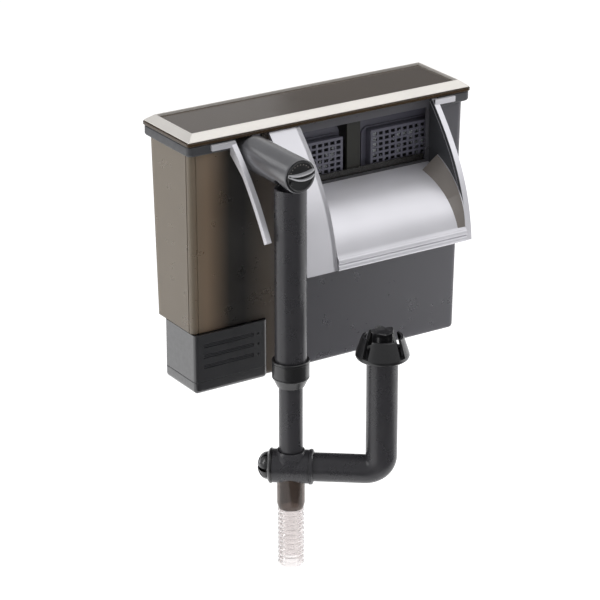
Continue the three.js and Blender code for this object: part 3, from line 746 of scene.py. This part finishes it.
def soft_block(low, high, step, depth, waves):
    """A block whose faces are pushed in by a noise, up to depth millimetres."""
    counts = [max(int((high[i] - low[i]) / step), 2) for i in range(3)]
    points, faces, found = [], [], {}

    def corner(a, b, c):
        key = (a, b, c)
        if key not in found:
            found[key] = len(points)
            place = Vector(low[i] + (high[i] - low[i]) * n / counts[i] for i, n in enumerate(key))
            inward = Vector(1 if n == 0 else -1 if n == counts[i] else 0 for i, n in enumerate(key))
            push = depth * (0.5 + 0.5 * noise.noise(place * waves, noise_basis="PERLIN_ORIGINAL"))
            points.append(place + inward * max(push, 0))
        return found[key]

    for axis in range(3):
        b_axis, c_axis = (axis + 1) % 3, (axis + 2) % 3
        for end in (0, counts[axis]):
            for b in range(counts[b_axis]):
                for c in range(counts[c_axis]):
                    cell = []
                    for db, dc in ((0, 0), (1, 0), (1, 1), (0, 1)):
                        key = [0, 0, 0]
                        key[axis], key[b_axis], key[c_axis] = end, b + db, c + dc
                        cell.append(corner(*key))
                    faces.append(cell)
    return mesh_of(points, faces)


def make_floss(side, body):
    low, high = span(f"floss_pad_{side}")
    pad = soft_block(low + Vector((0.2, 4.2, 0.2)), high - Vector((0.2, 0.2, 0.2)), 2.0, 1.6, 0.22)
    made = piece(f"floss_pad_{side}", pad, body, "floss", [f"floss_pad_{side}"], bevel=0)


def make_sponge():
    low, high = span("bio_sponge")
    block_of_foam = soft_block(low + Vector((0.2, 0.2, 0.2)), high - Vector((0.2, 0.2, 0.2)), 2.6, 1.2, 0.6)
    made = piece("bio_sponge", block_of_foam, "housing", "foam", ["bio_sponge"], bevel=0)


# ---- intake
def make_intake():
    axis = (PIPE.x, 0, INTAKE_Z)
    face, radius, bore = span("intake_head")[0].y, 12.5, 10.7
    inner_end = 41
    barrel = [(0, face), (11.9, face), (12.4, face + 0.5), (radius, face + 1.2), (radius, -1.6), (12.2, -0.2),
              (11.4, 1.0), (10, 1.2), (10, inner_end), (0, inner_end)]
    mouth = [(0, face - 1), (11.6, face - 1), (11.6, face + 4), (bore, face + 4), (bore, -34), (8.2, -34),
             (8.2, inner_end - 2), (0, inner_end - 2)]
    head = shape(
        turned(barrel, "y", axis),
        ("+", turned(disc(11, 30, INTAKE_Z), "z", (INNER.x, INNER.y, 0))),
        ("-", turned(mouth, "y", axis)),
        ("-", turned(disc(11.7, 20, INTAKE_Z), "z", (PIPE.x, PIPE.y, 0))),
        ("-", turned(disc(9.3, 20, INTAKE_Z), "z", (INNER.x, INNER.y, 0))),
    )
    piece("intake_head", head, "housing", "tube_smoke", ["intake_head"], "intake_grey", bevel=0.3, segments=3)

    make_pipe("inner_downpipe", 7.5, 9, (INNER.x, INNER.y, 0), "housing", "intake_grey")
    make_flow_knob(axis, face)


def make_pipe(name, bore, radius, at, body, material="tube_smoke"):
    """A straight upright pipe, as high as its CAD node."""
    low, high = span(name)
    pipe = turned(ring(bore, radius, low.z, high.z), "z", at)
    piece(name, pipe, body, "tube_smoke", [name], material)


def rail(line, width, y_base, height):
    """A rounded rib along (x, z) points on the knob's face; height(share) is how far it stands out."""
    rings = []
    for i, (x, z) in enumerate(line):
        before, after = line[max(i - 1, 0)], line[min(i + 1, len(line) - 1)]
        run = Vector((after[0] - before[0], after[1] - before[1])).normalized()
        side = Vector((-run.y, run.x))
        tall = height(i / (len(line) - 1))
        rows = []
        for across, out in ((-1, -0.4), (-1, 0.7), (-0.6, 0.94), (0, 1), (0.6, 0.94), (1, 0.7), (1, -0.4)):
            out_y = y_base - (tall * out if out > 0 else out)
            rows.append((x + side.x * across * width / 2, out_y, z + side.y * across * width / 2))
        rings.append(rows)
    return loft(rings)


def curve_through(a, b, c):
    """A smooth (x, z) arc from a through b to c."""
    pull = tuple(2 * b[k] - (a[k] + c[k]) / 2 for k in (0, 1))
    return bezier(a, pull, c, steps=24)


def make_flow_knob(axis, face):
    front = face - 0.6
    profile = [(0, face + 6.5), (8.3, face + 6.5), (8.3, face + 3.7), (11.3, face + 3.7), (11.3, front + 0.9),
               (11.1, front + 0.3), (10.5, front), (10.1, front + 0.1), (9.8, front + 0.5), (0, front + 0.5)]
    knob = turned(profile, "y", axis)
    plane = front + 0.5
    x, z = PIPE.x, INTAKE_Z
    upper = [(x + a, z + b) for a, b in curve_through((-10.2, 2.4), (0, 1.8), (10.2, 3.9))]
    lower = [(x + a, z + b) for a, b in curve_through((-10.2, 1.9), (0, -1.9), (10.4, 0.6))]

    def rise(share):
        return 3.9 * min(1, 0.35 + 2.4 * share) * min(1, 0.55 + 2.5 * (1 - share))

    floor = front_plate([*upper, *reversed(lower)], plane - 1.9, plane + 0.4)
    ribs = shape(rail(upper, 1.3, plane, rise), ("+", rail(lower, 1.3, plane, rise)))
    # Painted highlight: the ribs are light grey, standing for the light that their tops catch on the black
    # knob.
    piece("flow_knob_ribs", ribs, "flow_control", "black_plastic", material="painted_highlight_grey", bevel=0)
    nub = [(0, plane + 0.3), (1.3, plane + 0.3), (1.3, plane - 1.0), (0.9, plane - 1.5), (0, plane - 1.6)]
    knob = shape(knob, ("+", floor), ("+", turned(nub, "y", (x - 7.4, 0, z - 3.6), 24)))
    piece("flow_knob", knob, "flow_control", "black_plastic", ["flow_knob"], bevel=0.15)

    dot = [(0, plane + 0.15), (0.42, plane + 0.15), (0.42, plane - 0.12), (0.25, plane - 0.3),
           (0, plane - 0.36)]
    dots = []
    for i in range(9):
        angle = math.radians(26 + i * 16)
        at = (x + 8.6 * math.cos(angle), 0, z + 8.6 * math.sin(angle))
        dots.append(turned(dot, "y", at, 12))
    piece("flow_knob_marks", joined(*dots), "flow_control", "black_plastic", material="painted_shade_and_mark_grey", bevel=0)


def joined(*meshes):
    """Separate closed shapes as one mesh."""
    points, faces = [], []
    for mesh in meshes:
        start = len(points)
        points += [v.co / MM for v in mesh.vertices]
        faces += [[start + i for i in polygon.vertices] for polygon in mesh.polygons]
    return mesh_of(points, faces)


def make_telescope():
    at = (PIPE.x, PIPE.y, 0)
    make_pipe("upper_tube", 9.6, 11.4, at, "housing")
    make_collar(at)
    make_pipe("lower_tube", 7.2, 8.6, at, "telescope")


def make_collar(at):
    low, high = span("tube_collar")
    top, foot = high.z, low.z
    taper = foot + 6.7
    tight, wide, seat = 9.0, 11.7, span("telescope_seal")[0].z - 0.3
    out = high.x - PIPE.x
    collar = [(tight, foot), (tight + 1.0, foot), (out - 0.7, taper - 0.6), (out - 0.1, taper),
              (out - 0.1, taper + 0.8), (out - 0.8, taper + 0.9), (out - 0.8, top - 1.7), (out, top - 1.6),
              (out, top - 0.3), (out - 0.3, top), (wide, top), (wide, seat), (tight, seat), (tight, foot)]
    slit = block(PIPE.x + 7, PIPE.x + 16, PIPE.y - 4.6, PIPE.y - 3.6, foot - 1, taper + 0.6)
    whole = shape(turned(collar, "z", at), ("-", slit))
    piece("tube_collar", whole, "housing", "black_plastic", ["tube_collar"], bevel=0.2)
    band = ring(out - 0.7, out - 0.1, taper + 1.1, top - 1.9)
    piece("collar_band", turned(band, "z", at), "housing", "black_plastic", bevel=0.15)


# ---- tee, arm and head
def make_tee():
    at, radius, bore, half = TEE_AT, TEE_RADIUS, TEE_BORE, TEE_HALF
    low = span("skimmer_tee")[0].z - at.z
    barrel = turned(disc(radius, -half, half), "tee", at)
    saddle = [(0, 0), (12.2, 0), (11.9, radius - 4), (11.0, radius - 1.2), (9.9, radius + 0.8),
              (0, radius + 0.8)]
    socket = [(0, low), (9.2, low), (9.4, low + 0.4), (10.2, low + 4), (10.2, 0), (0, 0)]
    tee = shape(
        barrel,
        ("+", turned(saddle, "z", at)),
        ("+", turned(socket, "z", at)),
        ("-", turned(disc(bore, -half - 1, half + 1), "tee", at)),
        ("-", turned(disc(8.9, 0, 20), "z", at)),
        ("-", turned(disc(8.1, low - 1, 0), "z", at)),
    )
    made = piece("skimmer_tee", tee, "tee", "tube_smoke", ["skimmer_tee"], bevel=0.35, segments=3)
    repaint(made, "smoke_dark", lambda place, normal: place.z < at.z - radius)

    right = [(bore, half + 0.3), (12.9, half + 0.3), (12.9, half + 2.2), (12.4, half + 2.8),
             (11.6, half + 3.2), (bore, half + 3.2), (bore, half + 0.3)]
    piece("tee_end_ring", turned(right, "tee", at), "tee", "tube_smoke", ["tee_end_ring"], bevel=0.2)
    left = [(9.3, -half - 3.6), (10, -half - 3.6), (12.7, -half - 1.9), (12.9, -half - 1.4),
            (12.9, -half - 0.3), (9.3, -half - 0.3), (9.3, -half - 3.6)]
    piece("tee_cap_ring", turned(left, "tee", at), "tee", "black_plastic", ["tee_cap_ring"], bevel=0.2)
    make_tee_knob()


def make_tee_knob():
    at, half = TEE_AT, TEE_HALF
    stem, wide, foot, tall = 9, 9.9, -half - 3.9, 6.4
    dome = [(0, -half + 1.5), (stem, -half + 1.5), (stem, foot)]
    for i in range(13):
        angle = i * math.pi / 24
        dome.append((wide * math.cos(angle), foot - tall * math.sin(angle)))
    dome[-1] = (0, dome[-1][1])
    knob = turned(dome, "tee", at)
    across, up, along = AXES["tee"]

    def wing(turn, proud, thick):
        """A radial rib over the dome, drawn in the plane that holds the tee's axis."""
        out = across * math.cos(turn) + up * math.sin(turn)
        side = across * -math.sin(turn) + up * math.cos(turn)
        outline = []
        for i in range(17):
            angle = -math.pi / 2 + i * math.pi / 16
            outline.append(((wide + 0.1) * math.sin(angle), foot - (tall + proud) * math.cos(angle)))
        outline += [(wide + 0.1, foot + 0.6), (-wide - 0.1, foot + 0.6)]
        shifts = (side * (-thick / 2), side * (thick / 2))
        return loft([[at + out * a + along * b + shift for a, b in outline] for shift in shifts])

    ribs = [("+", wing(i * math.pi / 5 + 0.3, 0.5, 0.9)) for i in range(5)]
    knob = shape(knob, *ribs, ("+", wing(math.pi / 2, 0.85, 2.4)))
    piece("tee_knob", knob, "tee_control", "black_plastic", ["tee_knob"], bevel=0.2)


def make_hose():
    low, high = span("corrugated_hose")
    rings, pitch = 12, 3.8
    top = low.z + rings * pitch
    inside, outside = [], []
    steps = 10
    for i in range(rings * steps + 1):
        z = top - i * pitch / steps
        wave = 0.5 - 0.5 * math.cos(2 * math.pi * i / steps)
        radius = 8.35 + 1.15 * wave**0.7
        outside.append((radius, z))
        inside.append((radius - 0.9, z))
    spigot = [(7.8, high.z), (7.8, top + 0.2)]
    bore = [(7.1, top + 0.2), (7.1, high.z)]
    profile = [*spigot, *outside, *reversed(inside), *bore, spigot[0]]
    hose = turned(profile, "z", (PIPE.x, PIPE.y, 0), 72)
    piece("corrugated_hose", hose, "tee", "clear_hose", ["corrugated_hose"], bevel=0, angle=60)


def bent_pipe(radius, wide, start, top, bend):
    """A pipe that leaves the tee, turns upwards with a tight inner corner, widens and rises to height top."""
    stations = [(start, 0, 0)]
    for i in range(25):
        lean = i / 24 * math.pi / 2
        stations.append((REACH - bend + bend * math.sin(lean), bend - bend * math.cos(lean), lean))
    stations.append((REACH, top, math.pi / 2))
    side = Vector((-ALONG_TEE.y, ALONG_TEE.x, 0))
    upward = Vector((0, 0, 1))
    rings = []
    for x, z, lean in stations:
        out = ALONG_TEE * -math.sin(lean) + upward * math.cos(lean)
        size = radius + (wide - radius) * math.sin(lean) ** 2
        centre = TEE_AT + ALONG_TEE * x + upward * z
        angles = [2 * math.pi * j / AROUND for j in range(AROUND)]
        rings.append([centre + side * size * math.cos(a) + out * size * math.sin(a) for a in angles])
    return loft(rings)


def make_skimmer():
    top = span("skimmer_elbow")[1].z - TEE_AT.z
    elbow = shape(bent_pipe(10.5, 11.3, 9.3, top, 11.4), ("-", bent_pipe(9.2, 9.8, 8.3, top + 1, 11.4)))
    piece("skimmer_elbow", elbow, "skimmer_arm", "tube_smoke", ["skimmer_elbow"], bevel=0.3)

    at = (RISER_AT.x, RISER_AT.y, 0)
    make_pipe("skimmer_sleeve", 6.7, 7.9, at, "skimmer_float", "black_plastic")

    low, high = span("skimmer_head")
    foot, head = low.z, high.z
    cup = [(8.2, foot), (11.6, foot), (12.4, foot + 0.2), (17.6, foot + 2.1), (18.8, foot + 3.0),
           (19.3, foot + 4.3), (19.1, foot + 5.9), (15.2, head - 0.8), (14.6, head), (12.9, head),
           (12.6, head - 0.4), (16.2, foot + 5.6), (15, foot + 3.9), (8.2, foot + 3.9), (8.2, foot)]
    first = math.atan2(ALONG_TEE.y, ALONG_TEE.x) + math.radians(52.5)
    outline = ((9, -2.5), (23, -2.5), (23, 2.5), (9, 2.5))
    slots = []
    for i in range(4):
        turn = Matrix.Rotation(first + i * math.pi / 2, 3, "Z")
        corners = [turn @ Vector((x, y, 0)) + Vector(at) for x, y in outline]
        slot = loft([[c + Vector((0, 0, z)) for c in corners] for z in (foot + 5.9, head + 2)])
        slots.append(("-", slot))
    whole = shape(turned(cup, "z", at), *slots)
    piece("skimmer_head", whole, "skimmer_float", "black_plastic", ["skimmer_head"], bevel=0.8, segments=4)
    make_plug(at)


def make_plug(at):
    low, high = span("skimmer_plug")
    top = high.z
    points, phase = 5, math.radians(3)
    per_point = 12
    sides = per_point * points
    # Each row's radius, its height from the top and how far its points stand out.
    rows = [(7.2, -13.4, 0), (7.2, -4.4, 0), (7.4, -3.0, 0.25), (8.9, -0.4, 1.1), (8.4, 0, 1.1),
            (6.2, -1.5, 0.4), (2.0, -1.9, 0)]
    rings = []
    for radius, drop, flare in rows:
        row = []
        for j in range(sides):
            angle = phase + 2 * math.pi * j / sides
            notch = flare * (1 - abs((j / per_point) % 1 * 2 - 1))
            r = radius - notch * 1.4
            row.append((at[0] + r * math.cos(angle), at[1] + r * math.sin(angle), top + drop - notch * 1.3))
        rings.append(row)
    crown = loft(rings)
    legs = [block(at[0] - 6.3, at[0] + 6.3, at[1] - 0.9, at[1] + 0.9, low.z, top - 12.8),
            block(at[0] - 0.9, at[0] + 0.9, at[1] - 6.3, at[1] + 6.3, low.z, top - 12.8)]
    plug = shape(crown, *(("+", leg) for leg in legs))
    piece("skimmer_plug", plug, "skimmer_float", "black_plastic", ["skimmer_plug"], bevel=0.3)


# ---- pump
def make_pump():
    low, high = span("pump_housing")
    base_low, base_high = span("pump_base_cover")

    def outline(inset, z):
        return rounded_rect((low.x, high.x, low.y, base_high.y), inset, max(3.0 - inset, 0.6), z)

    gland = middle("cable_gland")
    shell = loft([outline(0, low.z), outline(0, high.z)])
    hollow = loft([outline(2, low.z - 1), outline(2, high.z + 1)])
    cuts = [("-", hollow), ("-", turned(disc(5.3, 40, 60), "y", (gland.x, 0, gland.z), 48))]
    bars = []
    louvre_left, louvre_right = low.x + 7, high.x - 12
    for row in range(3):
        z = -97.5 - 8 * row
        cuts.append(("-", block(louvre_left, louvre_right, low.y - 1, low.y + 0.9, z, z + 3)))
        for slat in (z + 0.9, z + 2.1):
            depth = (low.y + 0.25, low.y + 1)
            bars.append(block(louvre_left + 0.2, louvre_right - 0.2, *depth, slat - 0.25, slat + 0.05))
        cuts.append(("-", turned(disc(1.1, low.y - 1, low.y + 0.8), "y", (high.x - 8.2, 0, z + 1.5), 24)))
    case = shape(shell, *cuts)
    piece("pump_housing", case, "housing", "pump_grey", ["pump_housing"], bevel=0.4, segments=3)
    piece("pump_slats", joined(*bars), "housing", "pump_grey", material="rim_grey", bevel=0)

    make_base(outline, base_low.z, base_high.z)
    make_gland(gland)


def make_base(outline, foot, top):
    edge = ((3.0, foot), (1.6, foot + 0.5), (0.5, foot + 1.6), (0, foot + 3.2), (0, top))
    tray = loft([outline(inset, height) for inset, height in edge])
    well = loft([outline(3.2, foot + 2), outline(2, foot + 3.2), outline(2, top + 1)])
    piece("pump_base_cover", shape(tray, ("-", well)), "housing", "pump_grey", ["pump_base_cover"], bevel=0.3)


def make_gland(gland):
    at = (gland.x, 0, gland.z)
    boot = [(3, 44), (5, 44), (5, 48.8), (7, 48.8), (7, 50.0), (6.6, 50.4)]
    for i in range(4):
        y = 50.6 + 1.3 * i
        wide = 6.0 - 0.35 * i
        boot += [(wide, y), (wide, y + 0.8), (wide - 0.8, y + 0.9), (wide - 0.8, y + 1.2)]
    boot += [(4.2, 56), (3, 56), (3, 44)]
    piece("cable_gland", turned(boot, "y", at, 48), "housing", "rubber", ["cable_gland"], bevel=0.12)


# ---- CAD nodes that stay
KEPT = {
    "black_plastic": ["rim_hook_left", "rim_hook_right", "flow_valve", "tee_valve", "impeller"],
    "guide_olive": ["centre_guide"],
    "smoke_dark": ["chamber_wall"],
    "clear_plastic": ["weir_strip"],
    "rubber": ["telescope_seal", "can_seal", "lower_bushing", "upper_bushing"],
    "steel": ["stator_core"],
    "copper": ["stator_coil"],
    "pump_grey": ["rotor_can"],
    "ceramic": ["impeller_shaft"],
    "ferrite": ["rotor_magnet"],
    "intake_grey": ["impeller_cover"],
}


def dress_kept_nodes():
    for material, names in KEPT.items():
        for name in names:
            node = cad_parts[name]
            node.data.materials.clear()
            node.data.materials.append(MATERIALS[material])


# ---- stage
def direction(azimuth, elevation):
    """The direction back towards the viewer: azimuth 0 looks along +Y."""
    a, e = math.radians(azimuth), math.radians(elevation)
    return Vector((math.sin(a) * math.cos(e), -math.cos(a) * math.cos(e), math.sin(e)))


CAMERA = {"azimuth": -32.75, "elevation": 22.14, "distance": 2.11435, "lens": 171.2}
CAMERA_TARGET = Vector((-0.00797, 0.034, -0.09189))


def make_camera():
    back = direction(CAMERA["azimuth"], CAMERA["elevation"])
    data = bpy.data.cameras.new("camera")
    data.lens, data.sensor_width = CAMERA["lens"], 36
    camera = placed("camera", data)
    camera.location = CAMERA_TARGET + back * CAMERA["distance"]
    camera.rotation_mode = "QUATERNION"
    camera.rotation_quaternion = (-back).to_track_quat("-Z", "Y")
    bpy.context.scene.camera = camera


def make_light(name, azimuth, elevation, distance, size, power):
    """A soft box that looks at the middle of the object."""
    data = bpy.data.lights.new(name, "AREA")
    data.shape, data.size, data.size_y = "RECTANGLE", size[0], size[1]
    data.energy = power
    light = placed(name, data)
    back = direction(azimuth, elevation)
    light.location = Vector((0, 0, -0.05)) + back * distance
    light.rotation_mode = "QUATERNION"
    light.rotation_quaternion = (-back).to_track_quat("-Z", "Y")
    light.visible_camera = light.visible_transmission = False


def flat(name, corners, z):
    """A level sheet of the stage."""
    mesh = bpy.data.meshes.new(name)
    mesh.from_pydata([(x, y, z) for x, y in corners], [], [range(len(corners))])
    made = placed(name, mesh)
    return made


def make_stage():
    ground = cad_low.z - FLOOR_CLEARANCE
    wide = 9  # metres from the middle of the floor to its sides
    floor = flat("floor", [(-wide, -wide), (wide, -wide), (wide, wide), (-wide, wide)], ground)
    pale = Shader("pale floor", Roughness=0.9, Emission_Color=(1, 1, 1, 1), Emission_Strength=0.55)
    pale.paint(pale.noise(3, 2), (0.3, (0.84, 0.84, 0.84, 1)), (0.7, (0.88, 0.88, 0.88, 1)))
    floor.data.materials.append(pale.material)

    # A dark card on the floor, seen only in glossy reflections.
    edge = [(0.3, -0.2), (0.3, -0.55), (0.5, -0.68), (1.4, -1.0), (2.6, -2.6)]
    flag = flat("dark_flag", [(-2.2, -0.2), (-2.2, -2.6), *reversed(edge)], ground + 0.002)
    dark = Shader("dark flag", Roughness=1.0)
    dark.paint(dark.noise(3, 2), (0.3, (0.03, 0.03, 0.03, 1)), (0.7, (0.04, 0.04, 0.04, 1)))
    flag.data.materials.append(dark.material)
    flag.visible_camera = flag.visible_shadow = False
    flag.visible_diffuse = flag.visible_transmission = False

    make_studio()


def make_studio():
    world = bpy.data.worlds.new("studio")
    bpy.context.scene.world = world
    world.use_nodes = True
    sky = world.node_tree.nodes["Background"]
    sky.inputs["Color"].default_value = (0.98, 0.985, 1.0, 1)
    sky.inputs["Strength"].default_value = 0.4
    make_light("left_box", -105, 30, 1.7, (0.45, 1.1), 10)
    make_light("right_box", 80, 18, 1.7, (0.6, 1.2), 7)
    make_light("top_box", 40, 55, 2.0, (2.4, 2.0), 15)
    make_light("back_left_box", -148, 24, 1.9, (0.5, 0.5), 0.8)
    make_light("back_box", 167, 20, 1.9, (1.16, 0.6), 0.8)
    bpy.context.scene.view_settings.view_transform = "Standard"


make_camera()
make_lid()
make_box()
make_spillway()
make_hooks()
make_cartridge("left")
make_cartridge("right")
make_sponge()
make_intake()
make_telescope()
make_tee()
make_hose()
make_skimmer()
make_pump()
dress_kept_nodes()
make_stage()
